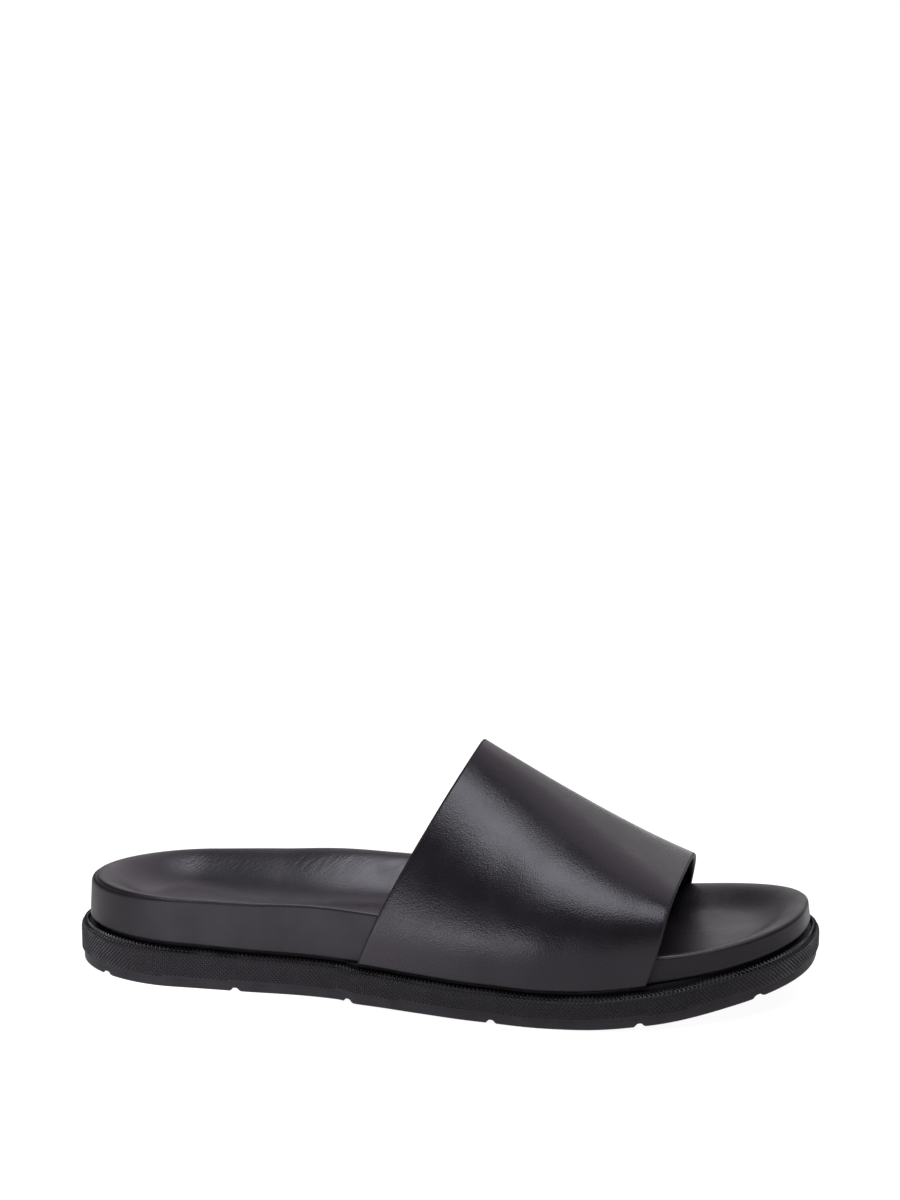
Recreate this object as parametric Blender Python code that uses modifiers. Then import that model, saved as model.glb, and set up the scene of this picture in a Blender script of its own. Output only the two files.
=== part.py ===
"""Slip-on sandal for the right foot: rubber outsole, toothed welt, leather footbed, insole and strap.

Frame: +X points to the toe, +Y to the inner (medial) side of the foot, +Z up. The origin lies on the
floor, under the middle of the sole. Sizes are in millimetres, and meshes are made in metres.
"""
import bmesh
import bpy
import numpy as np

MM = 0.001
GAP = 0.3                    # clearance between pieces that touch on the real sandal
LATERAL, MEDIAL = -1, 1      # outer and inner side of the foot, as signs of Y
SHARP_ANGLE = np.radians(40.0)

# Footbed outline, seen from above
LENGTH = 284.0               # heel back to toe tip of the footbed
HEEL_ROUND = 42.0            # length over which the heel closes
HEEL_POWER = 1.9
TOE_ROUND = {LATERAL: 90.0, MEDIAL: 56.0}
TOE_POWER = {LATERAL: 2.6, MEDIAL: 2.0}
SIDE_STATIONS = 46           # steps from heel to toe along each side

# Sections of the last, heel to toe. "share" is the place along the footbed, and "axis" is the middle
# line, with a half width on each side of it. "sole" is the outsole's height under the footbed. The rims
# and the floor of the dish are measured up from there. "roll" is the radius of the rim's shoulder, and
# the slopes are the widths over which the dish falls from rim to floor.
SECTION_COLUMNS = ("share", "axis", "lateral_width", "medial_width", "sole", "lateral_rim", "medial_rim",
                   "floor", "roll", "lateral_slope", "medial_slope")
SECTIONS = (
    (0.00, 0.0, 33.0, 33.0, 17.5, 17.4, 17.4, 9.0, 3.5, 25.0, 25.0),
    (0.10, 0.0, 33.0, 33.0, 17.0, 18.0, 18.6, 9.0, 2.6, 24.0, 20.0),
    (0.25, 0.0, 33.8, 32.5, 15.7, 19.3, 22.2, 8.5, 2.0, 21.0, 29.0),
    (0.40, 0.0, 37.0, 33.0, 14.9, 20.5, 23.8, 8.5, 2.0, 21.0, 24.0),
    (0.50, 0.0, 42.5, 37.5, 14.0, 19.8, 21.6, 7.5, 2.0, 21.0, 25.0),
    (0.60, 0.0, 47.5, 43.0, 13.6, 17.5, 17.2, 6.0, 2.0, 21.0, 24.0),
    (0.70, 1.0, 50.5, 46.5, 13.6, 14.5, 13.8, 5.0, 2.2, 21.0, 22.0),
    (0.80, 3.0, 49.5, 47.5, 14.2, 11.2, 11.2, 4.3, 2.6, 21.0, 22.0),
    (0.90, 6.0, 49.0, 47.0, 14.0, 9.5, 10.0, 4.0, 2.6, 21.0, 22.0),
    (1.00, 9.0, 49.0, 47.0, 13.6, 8.8, 8.8, 4.0, 2.6, 21.0, 21.0),
)

# Ring lines run from the outline towards this core of the last
CORE_FROM = (0.0, 40.0, 200.0, LENGTH)
CORE_TO = (30.0, 40.0, 200.0, 242.0)

# Outsole
SPRING_START = 194.0         # the tread is flat up to here, then turns up to the toe
TOE_SPRING = 13.2
WAIST = (46.0, 164.0)        # stretch between heel and ball where the tread is arched
WAIST_ARCH = 0.4
SOLE_EDGE = 3.2              # how far the outsole stands out past what it carries
FOOT_BAND = 3.6              # height of the smooth band along the floor
BAND_STEP = 0.4              # the knurled band above it stands this much proud
TREAD_ROUND = 1.4            # the tread's edge is rounded over this width
TREAD_ROUND_HEIGHT = 1.0
LIP_ROUND = 2.2              # height of the rounded lip below the rabbet
RABBET_WIDTH = 2.1           # step around the seat that takes the welt
RABBET_DEPTH = 2.2
RABBET_LAP = 0.25            # seat that shows past the footbed wall
GROOVE_SHARES = (0.045, 0.235, 0.396, 0.600, 0.799, 0.948)
GROOVE_WIDTH = 3.0
GROOVE_DEPTH = 1.7
GROOVE_BAR = (GROOVE_WIDTH, 130.0, 6.0)

# Welt
WELT_STEPS = 6

# Footbed wall and insole
WALL_DRAFT = 0.7             # the wall leans in by this much up to its shoulder
SEAM_LEVEL = 0.5             # share of the shoulder below the insole's edge
EDGE_LAP = 1.0               # the insole's edge lies on the footbed over this width
INSOLE_THICKNESS = 1.8
DISH_INSETS = (5.0, 7.5, 10.5, 14.5, 19.0, 25.0)

# Strap
STRAP_THICKNESS = 2.6
STRAP_EDGE = 1.0             # rounding of the cut edges
STRAP_STATIONS = 12
STRAP_WALL_STEPS = 3
STRAP_ARCH_STEPS = 13
STRAP_SAG = 0.3              # the crown line dips by this much between its ends
SQUARING = 2.0               # the arch changes its roundness by this power of the way to the front
SPRINGING = 9.6              # straight wall above the strap's foot, where the arch begins
REAR_RAMP = 10.0             # length over which the outsole widens for the strap, behind it
FRONT_RAMP = 32.0            # and in front of it
RAMP_OVERLAP = 1.0           # the ramps reach this far past the strap's edges

# Edges of the strap: places along the footbed at its two feet and at the crown, the crown's height, and
# the lean, which is above 1 where the edge leans forward more towards the crown. "ridge" is the way of
# the crown from the middle towards the inner side. An arch of roundness 1 is a quarter ellipse, and one
# of less has a squarer shoulder.
STRAP_COLUMNS = ("edge", "lateral_foot", "crown", "medial_foot", "crown_height", "lean", "ridge",
                 "lateral_round", "medial_round")
STRAP_EDGES = (
    ("rear", 116.0, 155.6, 126.0, 96.4, 1.14, 3.0, 1.20, 1.03),
    ("front", 228.0, 237.0, 229.5, 51.6, 0.8, -6.0, 0.56, 1.10),
)

COLOURS = {
    "outsole": (0.020, 0.018, 0.021, 1.0),
    "welt": (0.012, 0.011, 0.013, 1.0),
    "footbed": (0.026, 0.023, 0.027, 1.0),
    "insole": (0.028, 0.025, 0.029, 1.0),
    "strap": (0.024, 0.021, 0.025, 1.0),
}
ROUGHNESS = {"outsole": 0.7, "welt": 0.5, "footbed": 0.5, "insole": 0.55, "strap": 0.4}


def smooth(value):
    """Soft step from 0 to 1."""
    value = np.clip(value, 0.0, 1.0)
    return value * value * (3.0 - 2.0 * value)


def soft_fall(value):
    """Way down a slope, from 0 to 1: steepest at a third of it, with a long run-out."""
    value = np.clip(value, 0.0, 1.0)
    return 1.0 - (1.0 - value) ** 3 * (1.0 + 3.0 * value)


def section(name, x):
    """One column of the section table at places x, as a smooth curve through its rows."""
    rows = np.array(SECTIONS)
    share = rows[:, 0]
    values = rows[:, SECTION_COLUMNS.index(name)]
    slopes = np.gradient(values, share)
    place = np.clip(np.asarray(x) / LENGTH, 0.0, 1.0)
    row = np.clip(np.searchsorted(share, place) - 1, 0, len(share) - 2)
    step = share[row + 1] - share[row]
    part = (place - share[row]) / step
    start = values[row] + part * step * slopes[row]
    end = values[row + 1] - (1.0 - part) * step * slopes[row + 1]
    return start + (end - start) * smooth(part)


def by_side(name, x, side):
    """A pair of columns, lateral and medial, taken by the side of each point."""
    return np.where(side < 0, section("lateral_" + name, x), section("medial_" + name, x))


def end_closing(distance, length, power):
    """Share of the full width at a distance from the tip of a rounded end."""
    rest = np.clip(1.0 - distance / length, 0.0, 1.0)
    return (1.0 - rest ** power) ** (1.0 / power)


def outline(x, side):
    """Footbed outline at station x on one side, as points in plan."""
    toe_length = np.where(side < 0, TOE_ROUND[LATERAL], TOE_ROUND[MEDIAL])
    toe_power = np.where(side < 0, TOE_POWER[LATERAL], TOE_POWER[MEDIAL])
    width = by_side("width", x, side)
    width = width * end_closing(x, HEEL_ROUND, HEEL_POWER)
    width = width * end_closing(LENGTH - x, toe_length, toe_power)
    return np.stack([x, section("axis", x) + side * width], axis=-1)


def core(x):
    """Point on the core of the last that the ring line from station x aims at."""
    core_x = np.interp(x, CORE_FROM, CORE_TO)
    return np.stack([core_x, section("axis", core_x)], axis=-1)


def inward(x, side):
    """Unit direction in plan from the outline to the core."""
    aim = core(x) - outline(x, side)
    return aim / np.linalg.norm(aim, axis=-1, keepdims=True)


def bottom_height(x):
    """Height of the tread: flat under heel and ball, arched between them, and rising to the toe."""
    rise = np.clip((x - SPRING_START) / (LENGTH - SPRING_START), 0.0, None)
    waist = np.clip((x - WAIST[0]) / (WAIST[1] - WAIST[0]), 0.0, 1.0)
    return TOE_SPRING * rise ** 2 + WAIST_ARCH * np.sin(np.pi * waist) ** 2


def seat_height(x):
    """Height of the outsole's top, which carries the footbed."""
    return bottom_height(x) + section("sole", x)


def strap_edge(name):
    """Rear and front values of one column of the strap's table."""
    index = STRAP_COLUMNS.index(name)
    return [row[index] for row in STRAP_EDGES]


def strap_room(x, side):
    """How far the outsole widens at station x to take the strap's end."""
    room = np.zeros_like(x)
    for sign, name in ((LATERAL, "lateral_foot"), (MEDIAL, "medial_foot")):
        rear, front = strap_edge(name)
        rise = smooth((x - rear + REAR_RAMP - RAMP_OVERLAP) / REAR_RAMP)
        fall = smooth((x - front - RAMP_OVERLAP) / FRONT_RAMP)
        room = np.where(side == sign, rise - fall, room)
    return room * (STRAP_THICKNESS + GAP)


def ring_stations():
    """Stations and sides of one closed ring: along the outer side to the toe, and back on the inner."""
    steps = np.arange(SIDE_STATIONS + 1) / SIDE_STATIONS
    side_x = LENGTH * (1.0 - np.cos(np.pi * steps)) / 2.0
    x = np.concatenate([side_x, side_x[-2:0:-1]])
    side = np.concatenate([np.full(len(side_x), LATERAL), np.full(len(side_x) - 2, MEDIAL)])
    return x, side


RING_X, RING_SIDE = ring_stations()
RING_OUTLINE = outline(RING_X, RING_SIDE)
RING_INWARD = inward(RING_X, RING_SIDE)
RING_CORE = core(RING_X)
RING_REACH = np.linalg.norm(RING_CORE - RING_OUTLINE, axis=-1)
RING_ROOM = strap_room(RING_X, RING_SIDE)


def plan_ring(inset):
    """Ring in plan, a distance in from the footbed outline. A negative inset lies outside it."""
    return RING_OUTLINE + RING_INWARD * np.broadcast_to(inset, RING_X.shape)[:, None]


def ring(inset, height):
    """Closed ring of points. The height is an array, or a function of x."""
    plan = plan_ring(inset)
    levels = height(plan[:, 0]) if callable(height) else height
    return np.column_stack([plan, np.broadcast_to(levels, RING_X.shape)])


def cap_rings(height, shares=(1.0, 0.5)):
    """Rings of a floor or seat, from the core line out towards the outline."""
    return [ring(RING_REACH * share, height) for share in shares]


def box_middle(points):
    """Middle of the plan box around some points."""
    return (points[:, :2].min(axis=0) + points[:, :2].max(axis=0)) / 2.0


ORIGIN = np.append(box_middle(plan_ring(-SOLE_EDGE - RING_ROOM)), 0.0)


def to_metres(points):
    """Points of the last in millimetres, moved to the part's origin, in metres."""
    return (np.asarray(points) - ORIGIN) * MM


def material(name):
    """Principled material of one piece."""
    result = bpy.data.materials.new(name)
    result.use_nodes = True
    shader = result.node_tree.nodes["Principled BSDF"]
    shader.inputs["Base Color"].default_value = COLOURS[name]
    shader.inputs["Roughness"].default_value = ROUGHNESS[name]
    shader.inputs["Metallic"].default_value = 0.0
    return result


def grid_object(name, rows, collection, wrap_across=False, wrap_along=False, split=False):
    """Object from a grid of points in millimetres, one array of points for each row.

    Split faces are cut along their shorter diagonal, so that parallel grids stay parallel."""
    row_count = len(rows)
    across = len(rows[0])
    points = to_metres(np.concatenate(rows))
    build = bmesh.new()
    vertices = [build.verts.new(point) for point in points]
    for row in range(row_count if wrap_along else row_count - 1):
        upper = (row + 1) % row_count
        for column in range(across if wrap_across else across - 1):
            beside = (column + 1) % across
            corners = (row * across + column, row * across + beside,
                       upper * across + beside, upper * across + column)
            build.faces.new([vertices[corner] for corner in corners])
    bmesh.ops.remove_doubles(build, verts=build.verts, dist=1e-7)
    bmesh.ops.dissolve_degenerate(build, edges=build.edges, dist=1e-7)
    if split:
        bmesh.ops.triangulate(build, faces=build.faces, quad_method="SHORT_EDGE")
    bmesh.ops.recalc_face_normals(build, faces=build.faces)
    mesh = bpy.data.meshes.new(name)
    build.to_mesh(mesh)
    build.free()
    mesh.shade_smooth()
    mesh.set_sharp_from_angle(angle=SHARP_ANGLE)
    result = bpy.data.objects.new(name, mesh)
    collection.objects.link(result)
    return result


def loft(name, rings, collection, closed_profile=False):
    """Closed solid through rings. An open profile starts and ends on the core line."""
    return grid_object(name, rings, collection, True, closed_profile, split=True)


def outsole_rings():
    """Rings of the outsole: tread, foot band, knurled band, lip, rabbet and seat."""
    bottom = bottom_height(RING_X)
    seat = seat_height(RING_X)
    face = -SOLE_EDGE - RING_ROOM
    rabbet_floor = seat - RABBET_DEPTH
    rabbet_wall = -RABBET_LAP - RING_ROOM
    rabbet_edge = rabbet_wall - RABBET_WIDTH
    turns = np.radians((0.0, 45.0, 90.0))
    profile = [(face + BAND_STEP + TREAD_ROUND * (1.0 - np.sin(turn)),
                bottom + TREAD_ROUND_HEIGHT * (1.0 - np.cos(turn))) for turn in turns]
    profile += [(face + BAND_STEP, bottom + FOOT_BAND),
                (face, bottom + FOOT_BAND + BAND_STEP)]
    profile += [(face + (rabbet_edge - face) * (1.0 - np.cos(turn)),
                 rabbet_floor - LIP_ROUND * (1.0 - np.sin(turn))) for turn in turns]
    profile += [(rabbet_wall, rabbet_floor), (rabbet_wall, seat), (0.0, seat)]
    wall = [ring(inset, height) for inset, height in profile]
    return cap_rings(bottom_height) + wall + cap_rings(seat_height)[::-1]


def groove_cutters(collection):
    """Bars across the tread, one for each groove, joined in one cutter."""
    build = bmesh.new()
    for share in GROOVE_SHARES:
        x = share * LENGTH
        middle_height = bottom_height(x) + GROOVE_DEPTH - GROOVE_BAR[2] / 2.0
        centre = to_metres([x, ORIGIN[1], middle_height])
        bar = bmesh.ops.create_cube(build, size=1.0)["verts"]
        bmesh.ops.scale(build, verts=bar, vec=np.array(GROOVE_BAR) * MM)
        bmesh.ops.translate(build, verts=bar, vec=centre)
    mesh = bpy.data.meshes.new("tread_grooves")
    build.to_mesh(mesh)
    build.free()
    cutter = bpy.data.objects.new("tread_grooves", mesh)
    cutter.hide_render = True
    cutter.display_type = "WIRE"
    collection.objects.link(cutter)
    return cutter


def welt_rings():
    """Rings of the welt: a half-round strip that lies in the outsole's rabbet."""
    floor = seat_height(RING_X) - RABBET_DEPTH + GAP
    half_width = (RABBET_WIDTH - GAP) / 2.0
    middle = -RABBET_LAP - GAP - half_width - RING_ROOM
    height = RABBET_DEPTH - 2.0 * GAP
    turns = np.linspace(0.0, np.pi, WELT_STEPS)
    return [ring(middle + half_width * np.cos(turn), floor + height * np.sin(turn)) for turn in turns]


def rim_height():
    """Height of the rim around the ring."""
    return seat_height(RING_X) + by_side("rim", RING_X, RING_SIDE)


def shoulder(level):
    """Inset and height on the rounded shoulder, from its start at level 0 to the top of the rim at 1."""
    roll = section("roll", RING_X)
    turn = level * np.pi / 2.0
    return WALL_DRAFT + roll * (1.0 - np.cos(turn)), rim_height() - roll * (1.0 - np.sin(turn))


def dish_height(inset):
    """Height of the insole's top at an inset: it falls from the rim to the floor of the dish."""
    x = plan_ring(inset)[:, 0]
    floor = seat_height(x) + section("floor", x)
    top_inset = shoulder(1.0)[0]
    fall = soft_fall((inset - top_inset) / by_side("slope", RING_X, RING_SIDE))
    return rim_height() + (floor - rim_height()) * fall


def dish_rings(drop):
    """Rings of the dish, from the core line out to the shoulder, lowered by a drop."""
    insets = [RING_REACH] + [np.full_like(RING_X, inset) for inset in reversed(DISH_INSETS)]
    return [ring(inset, dish_height(inset) - drop) for inset in insets]


def footbed_rings():
    """Rings of the footbed: base, wall, the lower part of the shoulder, and the dish under the insole."""
    seam_inset, seam_height = shoulder(SEAM_LEVEL)
    start_inset, start_height = shoulder(0.0)
    wall = [
        ring(0.0, lambda x: seat_height(x) + GAP),
        ring(start_inset, start_height - GAP),
        ring(seam_inset, seam_height - GAP),
        ring(seam_inset + EDGE_LAP, seam_height - GAP),
    ]
    base = cap_rings(lambda x: seat_height(x) + GAP)
    return base + wall + dish_rings(INSOLE_THICKNESS + GAP)[::-1]


def insole_rings():
    """Rings of the insole: its underside, the rounded edge on the rim, and the dish that shows."""
    seam_inset, seam_height = shoulder(SEAM_LEVEL)
    edge = [
        ring(seam_inset + EDGE_LAP, seam_height),
        ring(seam_inset, seam_height),
        ring(*shoulder((1.0 + SEAM_LEVEL) / 2.0)),
        ring(*shoulder(1.0)),
    ]
    return dish_rings(INSOLE_THICKNESS) + edge + dish_rings(0.0)[::-1]


def strap_rib(share):
    """Points of one rib on the strap's inner face, from its outer foot over the crown to its inner foot."""
    rear, front = (dict(zip(STRAP_COLUMNS, row)) for row in STRAP_EDGES)
    place = {name: rear[name] + (front[name] - rear[name]) * share for name in STRAP_COLUMNS[1:]}
    for name in ("lateral_round", "medial_round"):
        place[name] = rear[name] + (front[name] - rear[name]) * share ** SQUARING
    crown_height = place["crown_height"] - STRAP_THICKNESS - STRAP_SAG * 4.0 * share * (1.0 - share)
    halves = []
    for side, name in ((LATERAL, "lateral"), (MEDIAL, "medial")):
        foot_x = np.float64(place[name + "_foot"])
        foot = seat_height(foot_x) + GAP
        springing = foot + SPRINGING
        wall = np.linspace(0.0, 1.0, STRAP_WALL_STEPS, endpoint=False)
        turn = np.linspace(0.0, np.pi / 2.0, STRAP_ARCH_STEPS)
        spread = np.append(np.ones_like(wall), np.abs(np.cos(turn)) ** place[name + "_round"])
        rise = np.sin(turn) ** place[name + "_round"]
        height = np.append(foot + (springing - foot) * wall, springing + (crown_height - springing) * rise)
        level = (height - foot) / (crown_height - foot)
        x = foot_x + (place["crown"] - foot_x) * level ** place["lean"]
        faces = [outline(x, sign)[:, 1] - GAP * inward(x, sign)[:, 1] for sign in (LATERAL, MEDIAL)]
        crown_y = (faces[0] + faces[1]) / 2.0 + place["ridge"]
        edge = faces[0] if side < 0 else faces[1]
        y = crown_y + (edge - crown_y) * spread
        halves.append(np.column_stack([x, y, height]))
    lateral, medial = halves
    return np.concatenate([lateral, medial[-2::-1]])


def make_strap(collection):
    """Strap: the inner face as a sheet, thickened outwards, with its cut edges rounded."""
    shares = np.linspace(0.0, 1.0, STRAP_STATIONS + 1)
    ribs = [strap_rib(share) for share in shares]
    strap = grid_object("strap", ribs, collection)
    wall = strap.modifiers.new("wall", "SOLIDIFY")
    wall.thickness = STRAP_THICKNESS * MM
    wall.offset = 1.0
    wall.use_even_offset = True
    edge = strap.modifiers.new("cut_edges", "BEVEL")
    edge.width = STRAP_EDGE * MM
    edge.segments = 2
    edge.limit_method = "ANGLE"
    edge.angle_limit = np.radians(60.0)
    return strap


def make_sandal():
    """All pieces of the sandal, each with its own material."""
    for old in list(bpy.data.objects):
        bpy.data.objects.remove(old, do_unlink=True)
    sandal = bpy.data.collections.new("slip_on_sandal")
    cutters = bpy.data.collections.new("cutters")
    for collection in (sandal, cutters):
        bpy.context.scene.collection.children.link(collection)
    outsole = loft("outsole", outsole_rings(), sandal)
    grooves = outsole.modifiers.new("grooves", "BOOLEAN")
    grooves.operation = "DIFFERENCE"
    grooves.object = groove_cutters(cutters)
    loft("welt", welt_rings(), sandal, closed_profile=True)
    loft("footbed", footbed_rings(), sandal)
    loft("insole", insole_rings(), sandal)
    make_strap(sandal)
    for piece in sandal.objects:
        piece.data.materials.append(material(piece.name))


make_sandal()
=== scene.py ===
"""Slip-on sandal for the right foot: a black leather slide on a knurled rubber sole, dressed on its solids.

Sizes are millimetres on the last: x runs from the back of the heel to the toe, y to the inner side of the
foot, and z up from the floor. Meshes are in metres, in the frame of the solids.
"""

import bmesh
import bpy
import numpy as np
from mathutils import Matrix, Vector


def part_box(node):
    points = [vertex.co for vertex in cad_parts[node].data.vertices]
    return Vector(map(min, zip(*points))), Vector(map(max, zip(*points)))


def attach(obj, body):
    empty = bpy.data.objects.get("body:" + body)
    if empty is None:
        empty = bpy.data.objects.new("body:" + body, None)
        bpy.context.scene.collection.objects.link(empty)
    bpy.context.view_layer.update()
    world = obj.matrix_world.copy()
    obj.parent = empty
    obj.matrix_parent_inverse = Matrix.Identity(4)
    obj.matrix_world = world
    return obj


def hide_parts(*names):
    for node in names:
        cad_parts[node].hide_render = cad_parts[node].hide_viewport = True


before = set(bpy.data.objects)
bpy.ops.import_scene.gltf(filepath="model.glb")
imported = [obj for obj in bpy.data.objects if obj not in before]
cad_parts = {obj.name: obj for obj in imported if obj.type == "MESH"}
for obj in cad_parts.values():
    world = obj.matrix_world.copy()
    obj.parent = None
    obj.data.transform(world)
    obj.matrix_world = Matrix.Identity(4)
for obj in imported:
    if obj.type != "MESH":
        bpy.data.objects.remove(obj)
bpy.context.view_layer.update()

# Outsole: one moulded unit of black rubber. Six cross grooves part its tread, a smooth foot band runs along
# the floor, and the side above it ends in a rounded lip with a step that takes the welt.
MM = 0.001  # metres in a millimetre
GAP = 0.3  # clearance between neighbouring pieces
LATERAL, MEDIAL = -1, 1
LENGTH = 284.0
HEEL_ROUND = 42.0
HEEL_POWER = 1.9
TOE_ROUND = {LATERAL: 90.0, MEDIAL: 56.0}
TOE_POWER = {LATERAL: 2.6, MEDIAL: 2.0}

# Sections of the last, heel to toe: the place along the footbed, the middle line with a half width to each
# side of it, the outsole's height, the rims and the floor of the dish above that, the radius of the rim's
# shoulder, and the widths over which the dish falls from rim to floor.
SECTION_COLUMNS = ("share", "axis", "lateral_width", "medial_width", "sole", "lateral_rim", "medial_rim",
                   "floor", "roll", "lateral_slope", "medial_slope")
SECTIONS = (
    (0.00, 0.0, 33.0, 33.0, 17.5, 17.4, 17.4, 9.0, 3.5, 25.0, 25.0),
    (0.10, 0.0, 33.0, 33.0, 17.0, 18.0, 18.6, 9.0, 2.2, 24.0, 20.0),
    (0.25, 0.0, 33.8, 32.5, 15.7, 19.3, 22.2, 8.5, 1.3, 21.0, 29.0),
    (0.40, 0.0, 37.0, 33.0, 14.9, 20.5, 23.8, 8.5, 1.1, 21.0, 24.0),
    (0.50, 0.0, 42.5, 37.5, 14.0, 19.8, 21.6, 7.5, 1.1, 21.0, 25.0),
    (0.60, 0.0, 47.5, 43.0, 13.6, 17.5, 17.2, 6.0, 1.2, 21.0, 24.0),
    (0.70, 1.0, 50.5, 46.5, 13.6, 14.5, 13.8, 5.0, 1.3, 21.0, 22.0),
    (0.80, 3.0, 49.5, 47.5, 14.2, 11.2, 11.2, 4.3, 1.5, 21.0, 22.0),
    (0.90, 6.0, 49.0, 47.0, 14.0, 9.5, 10.0, 4.0, 1.6, 21.0, 22.0),
    (1.00, 9.0, 49.0, 47.0, 13.6, 8.8, 8.8, 4.0, 1.8, 21.0, 21.0),
)

# Lines from these places on the outline run to these places on the core of the last.
CORE_FROM = (0.0, 40.0, 200.0, LENGTH)
CORE_TO = (30.0, 40.0, 200.0, 242.0)

SPRING_START = 194.0
TOE_SPRING = 13.2
WAIST = (46.0, 164.0)
WAIST_ARCH = 0.4
SOLE_EDGE = 3.2
FOOT_BAND = 3.6
BAND_STEP = 0.4
TREAD_ROUND = 1.4
TREAD_ROUND_HEIGHT = 1.0
LIP_ROUND = 2.2
RABBET_WIDTH = 2.1  # the rabbet is the step that takes the welt
RABBET_DEPTH = 2.2
RABBET_LAP = 0.25
CREVICE = 2.5  # how far the step runs in under the footbed
GROOVE_SHARES = (0.045, 0.235, 0.396, 0.600, 0.799, 0.948)
GROOVE_WIDTH = 3.0
GROOVE_DEPTH = 1.7
GROOVE_FILLET = 1.0
GROOVE_REACH = 3.6
GROOVE_STEP = 0.4
STRAP_THICKNESS = 2.6
STRAP_FEET = {LATERAL: (116.0, 228.0), MEDIAL: (126.0, 229.5)}  # rear and front
REAR_RAMP = 10.0
FRONT_RAMP = 32.0
RAMP_OVERLAP = 1.0
OUTLINE_STEPS = 4000
OUTSOLE_STEPS = 190
TREAD_STEPS = 70
ROUND_STEPS = 7
RUBBER_BLACK = (0.0070, 0.0060, 0.0074, 1.0)
RUBBER_WORN = (0.0095, 0.0083, 0.0099, 1.0)
BLACK_SHEEN = (1.0, 0.89, 1.03, 1.0)
COLOUR_BLEND = (0.35, 0.65)  # part of a noise over which one colour goes into the other
GLOSS_BLEND = (0.3, 0.7)  # part of a noise over which one roughness goes into the other
RUBBER_SPECULAR = 0.30
RUBBER_BLOTCH = 14.0
RUBBER_GLOSS = (0.55, 0.70)
RUBBER_GLOSS_BLOTCH = 9.0
MOULD_TOOTH = 0.35
MOULD_TOOTH_DEPTH = 0.025


def smooth(value):
    """Soft step from 0 to 1: three squares less two cubes."""
    value = np.clip(value, 0.0, 1.0)
    return value * value * (3.0 - 2.0 * value)


def section(name, x):
    """One column of the section table at places x: two straight lines with the slopes of the rows on either
    side, blended by a soft step."""
    rows = np.array(SECTIONS)
    share = rows[:, 0]
    values = rows[:, SECTION_COLUMNS.index(name)]
    slopes = np.gradient(values, share)
    place = np.clip(np.asarray(x) / LENGTH, 0.0, 1.0)
    row = np.clip(np.searchsorted(share, place) - 1, 0, len(share) - 2)
    step = share[row + 1] - share[row]
    part = (place - share[row]) / step
    start = values[row] + part * step * slopes[row]
    end = values[row + 1] - (1.0 - part) * step * slopes[row + 1]
    return start + (end - start) * smooth(part)


def by_side(name, x, side):
    """A pair of columns, lateral and medial, taken by the side of each point."""
    return np.where(side < 0, section("lateral_" + name, x), section("medial_" + name, x))


def end_closing(distance, length, power):
    """Share of the full width near a rounded end: a superellipse of that length and power."""
    rest = np.clip(1.0 - distance / length, 0.0, 1.0)
    return (1.0 - rest ** power) ** (1.0 / power)


def outline(x, side):
    """Footbed outline in plan: the middle line, with the width out to the side, closed at heel and toe."""
    toe_length = np.where(side < 0, TOE_ROUND[LATERAL], TOE_ROUND[MEDIAL])
    toe_power = np.where(side < 0, TOE_POWER[LATERAL], TOE_POWER[MEDIAL])
    width = by_side("width", x, side)
    width = width * end_closing(x, HEEL_ROUND, HEEL_POWER)
    width = width * end_closing(LENGTH - x, toe_length, toe_power)
    return np.stack([x, section("axis", x) + side * width], axis=-1)


def to_core(x, side):
    """Direction in plan from the outline to the core of the last, and the way to it."""
    core_x = np.interp(x, CORE_FROM, CORE_TO)
    aim = np.stack([core_x, section("axis", core_x)], axis=-1) - outline(x, side)
    reach = np.linalg.norm(aim, axis=-1)
    return aim / reach[..., None], reach


def last_points(x, side, inset, height):
    """Points at an inset from the outline, along the lines to the core, at a height above the floor."""
    plan = outline(x, side) + to_core(x, side)[0] * np.asarray(inset)[..., None]
    height = np.broadcast_to(height, plan.shape[:-1])
    return np.concatenate([plan, height[..., None]], axis=-1)


def bottom_height(x):
    """Height of the tread: flat, with a sine-squared arch at the waist and a parabola up to the toe."""
    rise = np.clip((x - SPRING_START) / (LENGTH - SPRING_START), 0.0, None)
    waist = np.clip((x - WAIST[0]) / (WAIST[1] - WAIST[0]), 0.0, 1.0)
    return TOE_SPRING * rise ** 2 + WAIST_ARCH * np.sin(np.pi * waist) ** 2


def seat_height(x):
    """Height of the outsole's seat, which carries the footbed."""
    return bottom_height(x) + section("sole", x)


def strap_room(x, side):
    """How far the outsole widens for the strap's ends: a soft step up behind them, one down in front."""
    rear = np.where(side < 0, STRAP_FEET[LATERAL][0], STRAP_FEET[MEDIAL][0])
    front = np.where(side < 0, STRAP_FEET[LATERAL][1], STRAP_FEET[MEDIAL][1])
    rise = smooth((x - rear + REAR_RAMP - RAMP_OVERLAP) / REAR_RAMP)
    fall = smooth((x - front - RAMP_OVERLAP) / FRONT_RAMP)
    return (rise - fall) * (STRAP_THICKNESS + GAP)


def groove_lift(x):
    """Height that the cross grooves take out of the tread: a flat ceiling with softly rounded flanks."""
    middles = np.array(GROOVE_SHARES) * LENGTH
    away = np.abs(np.asarray(x)[..., None] - middles).min(axis=-1)
    return GROOVE_DEPTH * smooth((GROOVE_WIDTH / 2.0 + GROOVE_FILLET - away) / (2.0 * GROOVE_FILLET))


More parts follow.
